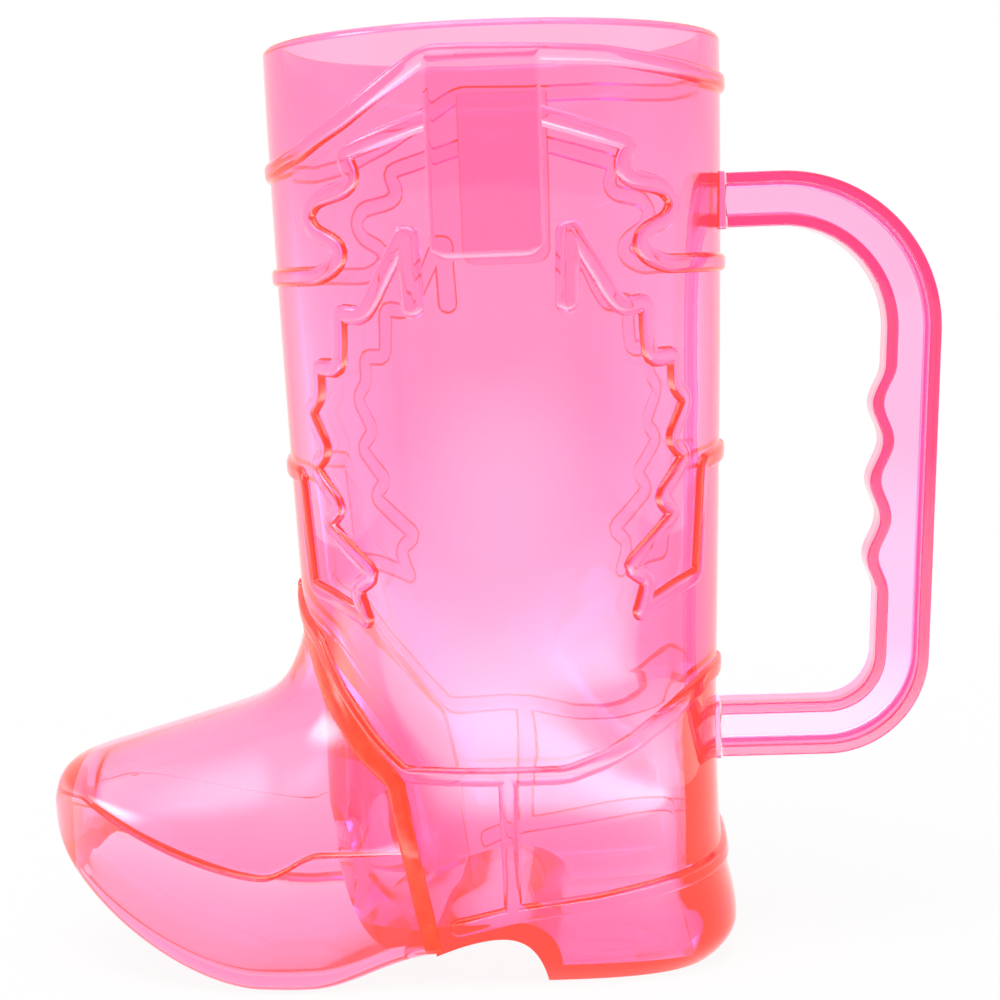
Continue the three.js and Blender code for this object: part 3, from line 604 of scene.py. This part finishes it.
def toe_section(x, wall, sole_wall):
    """Closed section of the toe form, from the middle of the underside round to it again."""
    share = (TOE_BALL_X - x) / (TOE_BALL_X - TOE_TIP_X)
    ahead = np.clip(share, 0, 1 - TOE_TIP_BLUNT)
    squeeze = math.sqrt(1 - ahead**TOE_SIDE_ROUND)
    widest = TOE_HALF_WIDTH - TOE_SEAM_DRAW * smooth(x, TOE_BALL_X, SEAM_FOOT_X)
    tapered = widest * (1 - TOE_SIDE_TAPER * ahead**TOE_TAPER_POWER)
    half = tapered * math.sqrt(1 - ahead**TOE_PLAN_ROUND) - wall
    bottom = mix(TOE_TIP_HEIGHT, sole_height(x), squeeze) + sole_wall
    top = mix(TOE_TIP_HEIGHT, VAMP_HEIGHT - VAMP_SLOPE * (TOE_BALL_X - x), squeeze) - wall
    welt = np.clip(welt_height(x), mix(bottom, top, WELT_SHARE_MIN), mix(bottom, top, WELT_SHARE_MAX))
    ledge = WELT_LEDGE * squeeze * (1 - smooth(x, TOE_BALL_X, SEAM_FOOT_X))
    sole = half - (TOE_UNDERCUT + (TOE_FOOT_WALL if wall else 0)) * squeeze
    corner = min(SOLE_CORNER, sole / 2, (welt - bottom) / 2)
    edge = bottom - (SOLE_EDGE_THINNING * squeeze if wall else 0)
    flat = sole - corner
    places = np.linspace(0, flat, SOLE_STEPS)[:-1]
    outline = [(y, mix(bottom, edge, (y / flat) ** 2)) for y in places]
    turn = np.linspace(0, math.pi / 2, SOLE_CORNER_STEPS)
    outline += list(zip(flat + corner * np.sin(turn), edge + corner * (1 - np.cos(turn))))
    rise = np.linspace(0, 1, TOE_SIDE_STEPS)[1:]
    outline += list(zip(mix(sole, half, rise), mix(edge + corner, welt, rise)))
    turn = np.linspace(0, math.pi / 2, DOME_STEPS)
    y = (half - ledge) * np.maximum(0, np.cos(turn)) ** TOE_DOME_POWER
    away = np.maximum(0, np.hypot(x, y) - ANKLE_RADIUS - INSTEP_FLARE_GAP + wall)
    flare = INSTEP_FLARE * np.sin(turn) * np.exp(-away / INSTEP_FLARE_REACH)
    y[-1] = 0
    z = mix(welt + ledge / 2, top, np.sin(turn) ** TOE_DOME_RISE) + flare
    half_ring = np.array(outline + list(zip(y, z)))
    mirrored = half_ring[-2:0:-1] * [-1, 1]
    ring = np.concatenate([half_ring, mirrored])
    return np.column_stack([np.full(len(ring), x), ring])


def toe_form(wall=0, sole_wall=0, tip_wall=0):
    tip = TOE_TIP_X + tip_wall
    turn = np.linspace(0, math.pi / 2, TOE_RINGS)[:-1]
    round_share = (1 - np.cos(turn)) ** TOE_RING_CROWDING
    places = np.concatenate([
        mix(tip, TOE_BALL_X, round_share),
        np.linspace(TOE_BALL_X, SEAM_FOOT_X, INSTEP_RINGS),
    ])
    return loft("toe_fine", [toe_section(x, wall, sole_wall) for x in places])


def toe():
    shell = combined(toe_form(), front_of_seam(CLEARANCE), "INTERSECT")
    shell = combined(shell, toe_form(TOE_WALL, TOE_SOLE_WALL, TOE_TIP_WALL), "DIFFERENCE")
    return combined(shell, stepped_foot(SEAM_LAP, TOE_SOLE_WALL), "DIFFERENCE")


def seam_weld(side):
    """Bead of fused plastic along the seam on one side of the boot."""
    form = toe_form()
    surface = BVHTree.FromObject(form, bpy.context.evaluated_depsgraph_get())
    line = np.array(seam_line())
    run = np.concatenate([[0], np.cumsum(np.linalg.norm(np.diff(line, axis=0), axis=1))])
    places = np.arange(WELD_START, run[-1] - WELD_END, WELD_STEP)
    across = Vector((0, -side, 0))
    centres, outward, widths = [], [], []
    for x, z in zip(np.interp(places, run, line[:, 0]), np.interp(places, run, line[:, 1])):
        start = Vector((x + AXIS_X - CLEARANCE / 2, side * ACROSS, z)) * MM
        spot, normal, _, _ = surface.ray_cast(start, across)
        if spot is None:
            continue
        centres.append(np.array(spot) / MM - [AXIS_X, 0, 0])
        outward.append(np.array(normal))
        above = smooth(z, VAMP_FRONT[-1][1] - WELD_WIDEN, VAMP_FRONT[-1][1] + WELD_WIDEN)
        widths.append(mix(WELD_WIDTH, WELD_WIDTH_TOP, above))
    bpy.data.objects.remove(form)
    centres, outward = np.array(centres), np.array(outward)
    along = np.gradient(centres, axis=0)
    along /= np.linalg.norm(along, axis=1)[:, None]
    beside = np.cross(along, outward)
    beside /= np.linalg.norm(beside, axis=1)[:, None]
    turn = np.linspace(0, 2 * math.pi, WELD_SECTION, endpoint=False)[None, :, None]
    low = WELD_DEPTH * np.minimum(0, np.sin(turn))
    high = WELD_RAISE * np.maximum(0, np.sin(turn))
    reach = np.array(widths)[:, None, None] / 2 * np.cos(turn)
    rings = centres[:, None] + reach * beside[:, None] + (low + high) * outward[:, None]
    return loft("toe_weld_near" if side < 0 else "toe_weld_far", rings)


# Handle, one I-section run round a D
def handle_section():
    """Closed outline of the I, as inset from the outer edge and place across."""
    half, web = HANDLE_WIDTH / 2, HANDLE_WEB / 2
    flange, arm = HANDLE_FLANGE, HANDLE_ARM
    quarter = [
        (0, 0, 0), (0, half, HANDLE_EDGE_ROUND), (flange, half, HANDLE_EDGE_ROUND),
        (flange, web, HANDLE_FILLET), (arm / 2, web, 0),
    ]
    outline = []
    for i, (a, b, corner) in enumerate(quarter):
        if not corner:
            outline.append((a, b))
            continue
        before, after = (np.array(quarter[k][:2], float) for k in (i - 1, i + 1))
        knot = np.array((a, b), float)
        enter = knot + (before - knot) * corner / np.linalg.norm(before - knot)
        leave = knot + (after - knot) * corner / np.linalg.norm(after - knot)
        outline += [tuple(enter), *map(tuple, bend(enter, knot, leave, HANDLE_CORNER_STEPS))]
    near = [(a, -b) for a, b in outline]
    inner = [(arm - a, -b) for a, b in reversed(outline[:-1])]
    far = [(arm - a, b) for a, b in outline[1:]]
    outer = [(a, b) for a, b in reversed(outline[1:-1])]
    return np.array(near + inner + far + outer)


def handle():
    section = handle_section()
    inset = section[:, 0]
    top_x, top_z = HANDLE_REACH - HANDLE_TOP_BEND, HANDLE_TOP - HANDLE_TOP_BEND
    foot_x, foot_z = HANDLE_FOOT_REACH - HANDLE_FOOT_BEND, HANDLE_BOTTOM + HANDLE_FOOT_BEND
    apart = math.hypot(foot_x - top_x, foot_z - top_z)
    lean = math.atan2(foot_x - top_x, top_z - foot_z)
    lean -= math.asin((HANDLE_TOP_BEND - HANDLE_FOOT_BEND) / apart)
    rings = []

    def ring(x, z):
        rings.append(np.column_stack([x, section[:, 1], z]))

    for x in np.linspace(TOP_SEAT_X + CLEARANCE, top_x, HANDLE_ARM_RINGS)[:-1]:
        ring(np.full_like(inset, x), HANDLE_TOP - inset)
    for turn in np.linspace(math.pi / 2, lean, HANDLE_TOP_RINGS):
        r = HANDLE_TOP_BEND - inset
        ring(top_x + r * math.cos(turn), top_z + r * math.sin(turn))
    middle = (top_z + foot_z) / 2 + FINGER_RISE
    follow = smooth(inset, HANDLE_FLANGE, HANDLE_ARM - HANDLE_FLANGE)
    start = rings[-1]
    r = HANDLE_FOOT_BEND - inset
    end = np.column_stack([foot_x + r * math.cos(lean), section[:, 1], foot_z + r * math.sin(lean)])
    for share in np.linspace(0, 1, HANDLE_GRIP_RINGS)[1:-1]:
        line = mix(start, end, share)
        place = (line[:, 2] - middle) / FINGER_PITCH
        inside = np.abs(place) < FINGER_COUNT / 2
        swell = np.where(inside, FINGER_SWELL * np.cos(math.pi * place) ** 2, 0)
        ring(line[:, 0] - swell * follow, line[:, 2])
    for turn in np.linspace(lean, -math.pi / 2, HANDLE_FOOT_RINGS):
        ring(foot_x + r * math.cos(turn), foot_z + r * math.sin(turn))
    for x in np.linspace(foot_x, BOTTOM_SEAT_X + CLEARANCE, HANDLE_ARM_RINGS)[1:]:
        ring(np.full_like(inset, x), HANDLE_BOTTOM + inset)
    return loft("handle_fine", rings)


# Materials: light that the plastic absorbs, and a painted orange glow that it gives off with no lamp,
# standing in for the orange light seen along long paths through the dyed plastic, per metre in red, green
# and blue
ABSORBED = np.array((40, 193, 80))
PAINTED_GLOW = np.array((45, 10, 2.4))
HANDLE_ABSORBED = np.array((96, 480, 158))
HANDLE_PAINTED_GLOW = np.array((108, 26, 5.8))
DENSITY_MARGIN = 1.05
PLASTIC_IOR = 1.5
# Painted orange glow on the plastic's surface, which shines with no lamp
SKIN_PAINTED_GLOW_COLOR = (1, 0.1, 0.05, 1)
SKIN_PAINTED_GLOW = 0.06
FLOW_SCALE = 55
FLOW_DETAIL = 2
RIPPLE = 0.05
HAZE_LEAST = 0.015
HAZE_MOST = 0.045
WHITE = (1, 1, 1, 1)

# Weld beads: painted orange and a painted glow that shines with no lamp, standing in for the orange of
# light that runs a long way through the plastic
WELD_PAINTED_ORANGE = (1, 0.08, 0.025, 1)
WELD_SPECULAR = 0.2
WELD_CLEARNESS = 0.5
WELD_GRAIN_AND_GLOW = 260
WELD_GRAIN_AND_GLOW_LOW = 0.3
WELD_GRAIN_AND_GLOW_HIGH = 0.7
# Roughness, and the strength of the painted glow, vary over the grain between these
WELD_RANGES = {"Roughness": (0.08, 0.3), "Emission Strength": (0.1, 0.5)}


def plastic(name, absorbed, glow):
    """Clear dyed plastic with a faint painted orange glow in its volume and skin, which shines with no
    lamp, slight ripples and haze.
    """
    made = bpy.data.materials.new(name)
    made.use_nodes = True
    nodes, links = made.node_tree.nodes, made.node_tree.links
    surface = nodes["Principled BSDF"]
    output = nodes["Material Output"]
    surface.inputs["Base Color"].default_value = WHITE
    surface.inputs["IOR"].default_value = PLASTIC_IOR
    surface.inputs["Transmission Weight"].default_value = 1
    # Painted orange glow on the surface
    surface.inputs["Emission Color"].default_value = SKIN_PAINTED_GLOW_COLOR
    surface.inputs["Emission Strength"].default_value = SKIN_PAINTED_GLOW
    density = max(absorbed) * DENSITY_MARGIN
    absorption = nodes.new("ShaderNodeVolumeAbsorption")
    absorption.inputs["Color"].default_value = (*(1 - absorbed / density), 1)
    absorption.inputs["Density"].default_value = density
    # Painted glow: orange light given off inside the plastic with no lamp
    painted_glow = nodes.new("ShaderNodeEmission")
    painted_glow.inputs["Color"].default_value = (*(glow / max(glow)), 1)
    painted_glow.inputs["Strength"].default_value = max(glow)
    volume = nodes.new("ShaderNodeAddShader")
    links.new(absorption.outputs[0], volume.inputs[0])
    links.new(painted_glow.outputs[0], volume.inputs[1])
    links.new(volume.outputs[0], output.inputs["Volume"])
    place = nodes.new("ShaderNodeTexCoord")
    flow = nodes.new("ShaderNodeTexNoise")
    flow.inputs["Scale"].default_value = FLOW_SCALE
    flow.inputs["Detail"].default_value = FLOW_DETAIL
    bump = nodes.new("ShaderNodeBump")
    bump.inputs["Strength"].default_value = RIPPLE
    bump.inputs["Distance"].default_value = MM
    links.new(place.outputs["Object"], flow.inputs["Vector"])
    links.new(flow.outputs["Fac"], bump.inputs["Height"])
    links.new(bump.outputs["Normal"], surface.inputs["Normal"])
    haze = nodes.new("ShaderNodeMapRange")
    haze.inputs["To Min"].default_value = HAZE_LEAST
    haze.inputs["To Max"].default_value = HAZE_MOST
    links.new(flow.outputs["Fac"], haze.inputs["Value"])
    links.new(haze.outputs["Result"], surface.inputs["Roughness"])
    return made


def finished(piece, node, slot, absorbed=ABSORBED, glow=PAINTED_GLOW):
    mesh = piece.data
    mesh.shade_smooth()
    mesh.set_sharp_from_angle(angle=SMOOTH_ANGLE)
    even = piece.modifiers.new("even_shading", "WEIGHTED_NORMAL")
    even.keep_sharp = True
    mesh.materials.clear()
    mesh.materials.append(plastic(slot, absorbed, glow))
    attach(piece, "root")
    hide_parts(node)


def weld_painted_orange():
    """Outer skin of a bead: painted orange with a painted glow, standing in for how dyed plastic looks
    where light runs a long way through it.
    """
    made = bpy.data.materials.new("weld_painted_orange")
    made.use_nodes = True
    nodes, links = made.node_tree.nodes, made.node_tree.links
    surface = nodes["Principled BSDF"]
    surface.inputs["Base Color"].default_value = WELD_PAINTED_ORANGE
    surface.inputs["IOR"].default_value = PLASTIC_IOR
    surface.inputs["Specular IOR Level"].default_value = WELD_SPECULAR
    surface.inputs["Transmission Weight"].default_value = WELD_CLEARNESS
    surface.inputs["Emission Color"].default_value = WELD_PAINTED_ORANGE
    place = nodes.new("ShaderNodeTexCoord")
    melt_and_glow = nodes.new("ShaderNodeTexNoise")
    melt_and_glow.inputs["Scale"].default_value = WELD_GRAIN_AND_GLOW
    links.new(place.outputs["Object"], melt_and_glow.inputs["Vector"])
    for name, (least, most) in WELD_RANGES.items():
        vary = nodes.new("ShaderNodeMapRange")
        vary.inputs["From Min"].default_value = WELD_GRAIN_AND_GLOW_LOW
        vary.inputs["From Max"].default_value = WELD_GRAIN_AND_GLOW_HIGH
        vary.inputs["To Min"].default_value = least
        vary.inputs["To Max"].default_value = most
        links.new(melt_and_glow.outputs["Fac"], vary.inputs["Value"])
        links.new(vary.outputs["Result"], surface.inputs[name])
    seen = nodes.new("ShaderNodeNewGeometry")
    clear = nodes.new("ShaderNodeBsdfTransparent")
    choose = nodes.new("ShaderNodeMixShader")
    links.new(seen.outputs["Backfacing"], choose.inputs[0])
    links.new(surface.outputs[0], choose.inputs[1])
    links.new(clear.outputs[0], choose.inputs[2])
    links.new(choose.outputs[0], nodes["Material Output"].inputs["Surface"])
    return made


def weld_root():
    """Part of a bead that lies inside the walls, where it is one with them."""
    made = bpy.data.materials.new("weld_root")
    made.use_nodes = True
    nodes, links = made.node_tree.nodes, made.node_tree.links
    clear = nodes.new("ShaderNodeBsdfTransparent")
    links.new(clear.outputs[0], nodes["Material Output"].inputs["Surface"])
    return made


WELD_PAINTED_SKIN, WELD_ROOT = weld_painted_orange(), weld_root()


def weld(piece, side):
    mesh = piece.data
    mesh.shade_smooth()
    # Outward faces get the painted orange skin with its painted glow, the rest is clear
    mesh.materials.append(WELD_PAINTED_SKIN)
    mesh.materials.append(WELD_ROOT)
    for face in mesh.polygons:
        face.material_index = 0 if face.normal.y * side > 0 else 1
    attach(piece, "root")


finished(cup_body(), "cup_body", "cup_plastic")
finished(toe(), "toe", "toe_plastic")
finished(handle(), "handle", "handle_plastic", HANDLE_ABSORBED, HANDLE_PAINTED_GLOW)
for side in (-1, 1):
    weld(seam_weld(side), side)


# Room: what surfaces reflect dims between two directions, given by their share towards +Y
SOFT_LIGHT = 0.5
ROOM_FAR = -0.8
ROOM_NEAR = -0.1
ROOM_DIM = 0.3

# Floor, in metres: its own light and shade show only near the cup
FLOOR_REACH = 30
FLOOR_DROP = 0.0002
FLOOR_COLOR = (0.9, 0.9, 0.9, 1)
FLOOR_ROUGHNESS = 0.9
SHADE_NEAR = 0.1
SHADE_FAR = 0.4
PLAIN_SHARE = 0.92


def seen_directly(nodes, links):
    """1 for camera, glossy and transmission rays, 0 for the rays that light surfaces."""
    path = nodes.new("ShaderNodeLightPath")
    total = path.outputs["Is Camera Ray"]
    for ray in ("Is Glossy Ray", "Is Transmission Ray"):
        most = nodes.new("ShaderNodeMath")
        most.operation = "MAXIMUM"
        links.new(total, most.inputs[0])
        links.new(path.outputs[ray], most.inputs[1])
        total = most.outputs[0]
    return total


def studio():
    """White set all round, and a dimmer room behind the camera for what the surfaces reflect."""
    world = bpy.data.worlds.new("studio")
    bpy.context.scene.world = world
    world.use_nodes = True
    nodes, links = world.node_tree.nodes, world.node_tree.links
    soft = nodes["Background"]
    soft.inputs["Color"].default_value = WHITE
    soft.inputs["Strength"].default_value = SOFT_LIGHT
    white = nodes.new("ShaderNodeBackground")
    white.inputs["Color"].default_value = WHITE
    place = nodes.new("ShaderNodeTexCoord")
    axes = nodes.new("ShaderNodeSeparateXYZ")
    links.new(place.outputs["Generated"], axes.inputs[0])
    room = nodes.new("ShaderNodeMapRange")
    room.interpolation_type = "SMOOTHSTEP"
    room.inputs["From Min"].default_value = ROOM_FAR
    room.inputs["From Max"].default_value = ROOM_NEAR
    room.inputs["To Min"].default_value = ROOM_DIM
    links.new(axes.outputs["Y"], room.inputs["Value"])
    path = nodes.new("ShaderNodeLightPath")
    level = nodes.new("ShaderNodeMix")
    level.inputs["A"].default_value = 1
    links.new(path.outputs["Glossy Depth"], level.inputs["Factor"])
    links.new(room.outputs["Result"], level.inputs["B"])
    links.new(level.outputs["Result"], white.inputs["Strength"])
    choose = nodes.new("ShaderNodeMixShader")
    links.new(seen_directly(nodes, links), choose.inputs[0])
    links.new(soft.outputs[0], choose.inputs[1])
    links.new(white.outputs[0], choose.inputs[2])
    links.new(choose.outputs[0], nodes["World Output"].inputs["Surface"])


def floor():
    mesh = bpy.data.meshes.new("floor")
    corners = [(x * FLOOR_REACH, y * FLOOR_REACH, 0) for x, y in ((-1, -1), (1, -1), (1, 1), (-1, 1))]
    mesh.from_pydata(corners, [], [(0, 1, 2, 3)])
    made = bpy.data.objects.new("floor", mesh)
    made.location.z = -FLOOR_DROP
    bpy.context.scene.collection.objects.link(made)
    pale = bpy.data.materials.new("floor_white")
    pale.use_nodes = True
    nodes, links = pale.node_tree.nodes, pale.node_tree.links
    surface = nodes["Principled BSDF"]
    surface.inputs["Base Color"].default_value = FLOOR_COLOR
    surface.inputs["Roughness"].default_value = FLOOR_ROUGHNESS
    surface.inputs["Specular IOR Level"].default_value = 0
    white = nodes.new("ShaderNodeEmission")
    white.inputs["Strength"].default_value = 1
    place = nodes.new("ShaderNodeTexCoord")
    away = nodes.new("ShaderNodeVectorMath")
    away.operation = "LENGTH"
    links.new(place.outputs["Object"], away.inputs[0])
    plain = nodes.new("ShaderNodeMapRange")
    plain.inputs["From Min"].default_value = SHADE_NEAR
    plain.inputs["From Max"].default_value = SHADE_FAR
    plain.inputs["To Min"].default_value = PLAIN_SHARE
    links.new(away.outputs["Value"], plain.inputs["Value"])
    share = nodes.new("ShaderNodeMath")
    share.operation = "MULTIPLY"
    links.new(plain.outputs["Result"], share.inputs[1])
    links.new(seen_directly(nodes, links), share.inputs[0])
    choose = nodes.new("ShaderNodeMixShader")
    links.new(share.outputs[0], choose.inputs[0])
    links.new(surface.outputs[0], choose.inputs[1])
    links.new(white.outputs[0], choose.inputs[2])
    links.new(choose.outputs[0], nodes["Material Output"].inputs["Surface"])
    mesh.materials.append(pale)


def softbox(name, place, target, size, radiance, fades, reflected_only=False):
    """Area lamp that fades out towards its edges, and can show in reflections only."""
    lamp = bpy.data.lights.new(name, "AREA")
    lamp.shape = "RECTANGLE"
    lamp.size, lamp.size_y = size
    lamp.energy = radiance * math.pi * size[0] * size[1]
    lamp.use_nodes = True
    nodes, links = lamp.node_tree.nodes, lamp.node_tree.links
    spot = nodes.new("ShaderNodeNewGeometry")
    axes = nodes.new("ShaderNodeSeparateXYZ")
    links.new(spot.outputs["Parametric"], axes.inputs[0])
    level = None
    if reflected_only:
        path = nodes.new("ShaderNodeLightPath")
        mirrored = nodes.new("ShaderNodeMath")
        mirrored.operation = "MINIMUM"
        mirrored.inputs[1].default_value = 1
        links.new(path.outputs["Glossy Depth"], mirrored.inputs[0])
        level = mirrored.outputs[0]
    for side, fade in enumerate(fades):
        ramp = nodes.new("ShaderNodeMapRange")
        ramp.interpolation_type = "SMOOTHSTEP"
        ramp.inputs["From Min"].default_value = side % 2
        ramp.inputs["From Max"].default_value = 1 - fade if side % 2 else fade
        links.new(axes.outputs[side // 2], ramp.inputs["Value"])
        if level is None:
            level = ramp.outputs["Result"]
        else:
            both = nodes.new("ShaderNodeMath")
            both.operation = "MULTIPLY"
            links.new(level, both.inputs[0])
            links.new(ramp.outputs["Result"], both.inputs[1])
            level = both.outputs[0]
    links.new(level, nodes["Emission"].inputs["Strength"])
    made = bpy.data.objects.new(name, lamp)
    made.location = place
    made.rotation_euler = (Vector(target) - Vector(place)).to_track_quat("-Z", "Y").to_euler()
    made.visible_camera = False
    bpy.context.scene.collection.objects.link(made)


# Lamps: place and target in metres, size, radiance, and shares that fade at left, right, bottom and top
CUP_MIDDLE = (0, 0, CUP_HEIGHT * MM / 2)
TOE_MIDDLE = (TOE_BALL_X * MM, 0, TOE_TIP_HEIGHT * MM)
OVERHEAD = ((-0.1, -0.3, 1), CUP_MIDDLE, (1.4, 1.2), 3.5, (0.3, 0.3, 0.3, 0.3))
REFLECTED_LAMPS = {
    "left": ((-0.85, -0.3, 0.55), TOE_MIDDLE, (0.6, 0.5), 10, (0.4, 0.4, 0.4, 0.4)),
    "side_left": ((-0.5, 0.1, -0.05), (0, 0.1, -0.05), (1.1, 0.5), 1.4, (0.45, 0.45, 0.3, 0.3)),
    "side_right": ((0.5, 0.1, -0.05), (0, 0.1, -0.05), (1.1, 0.5), 1.4, (0.45, 0.45, 0.3, 0.3)),
    "table_far": ((0.02, -0.65, 0.0005), (0.02, -0.65, 1), (1.6, 1.1), 2.3, (0.5, 0.5, 0.6, 0.05)),
    "table_near": ((0.02, -0.2225, 0.001), (0.02, -0.2225, 1), (0.9, 0.275), 5.4, (0.5, 0.5, 0.8, 0.08)),
    "table_left": ((-0.26, -0.04, 0.0015), (-0.26, -0.04, 1), (0.32, 0.32), 3, (0.5, 0.15, 0.3, 0.3)),
}

# Camera fitted to the photograph: place in the part's own frame, angles in radians, focal length in pixels
CAMERA_PLACE = (17.67, -403.79, 116.75)
CAMERA_YAW, CAMERA_PITCH, CAMERA_ROLL = 0.0468, 0.0916, -0.036
FOCAL_PIXELS = 2265.93
IMAGE_PIXELS = 1000
SENSOR = 36


def camera():
    data = bpy.data.cameras.new("camera")
    data.sensor_width = SENSOR
    data.lens = FOCAL_PIXELS / IMAGE_PIXELS * SENSOR
    made = bpy.data.objects.new("camera", data)
    upright = Matrix(((1, 0, 0), (0, 0, -1), (0, 1, 0)))
    yaw = Matrix.Rotation(-CAMERA_YAW, 3, "Z")
    pitch = Matrix.Rotation(CAMERA_PITCH, 3, "X")
    roll = Matrix.Rotation(CAMERA_ROLL, 3, "Z")
    to_camera = roll @ pitch @ upright @ yaw
    right, down, forward = to_camera.row
    turn = Matrix((right, -down, -forward)).transposed()
    place = (Vector(CAMERA_PLACE) + Vector((AXIS_X, 0, 0))) * MM
    made.matrix_world = Matrix.Translation(place) @ turn.to_4x4()
    bpy.context.scene.collection.objects.link(made)
    bpy.context.scene.camera = made


studio()
floor()
softbox("overhead", *OVERHEAD)
for name, lamp in REFLECTED_LAMPS.items():
    softbox(name, *lamp, reflected_only=True)
camera()
bpy.context.scene.view_settings.view_transform = "Standard"
